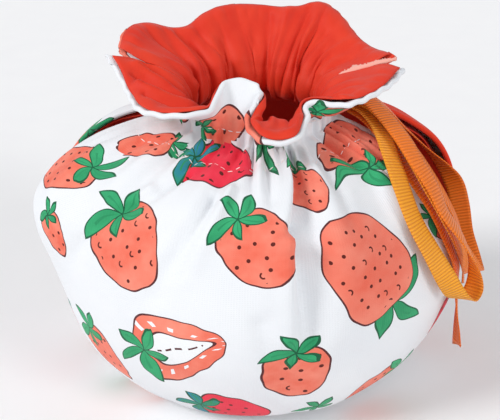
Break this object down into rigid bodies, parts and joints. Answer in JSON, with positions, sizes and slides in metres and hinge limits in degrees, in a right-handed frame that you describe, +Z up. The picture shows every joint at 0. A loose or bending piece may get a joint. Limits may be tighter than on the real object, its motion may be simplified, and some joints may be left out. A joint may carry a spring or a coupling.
{
  "type": "tea cosy",
  "caption": "Hollow padded cotton tea cosy with a drawn-in hem, slots for spout and handle, and a ribbon-gathered neck that opens into a flared, lined collar.",
  "frame": {"origin": "centre of the whole part's footprint box, on the plane that the hem rests on; the neck's own axis is 4 mm towards the spout from it", "axes": "+Z up out of the neck, -Y towards the front panel, -X towards the spout slot, +X towards the handle slot where the ribbon hangs"},
  "size_m": [0.2265, 0.1945, 0.1784],
  "materials": {
    "printed_cotton": "matt plain-weave white cotton with a printed strawberry repeat, softly padded",
    "red_lining": "plain orange-red cotton with a faint sheen",
    "orange_ribbon": "grosgrain ribbon, fine cross ribs, slight sheen"
  },
  "bodies": {
    "root": {"cover_front": "printed_cotton", "cover_back": "printed_cotton", "lining_front": "red_lining", "lining_back": "red_lining", "ribbon_tie": "orange_ribbon"}
  },
  "joints": []
}
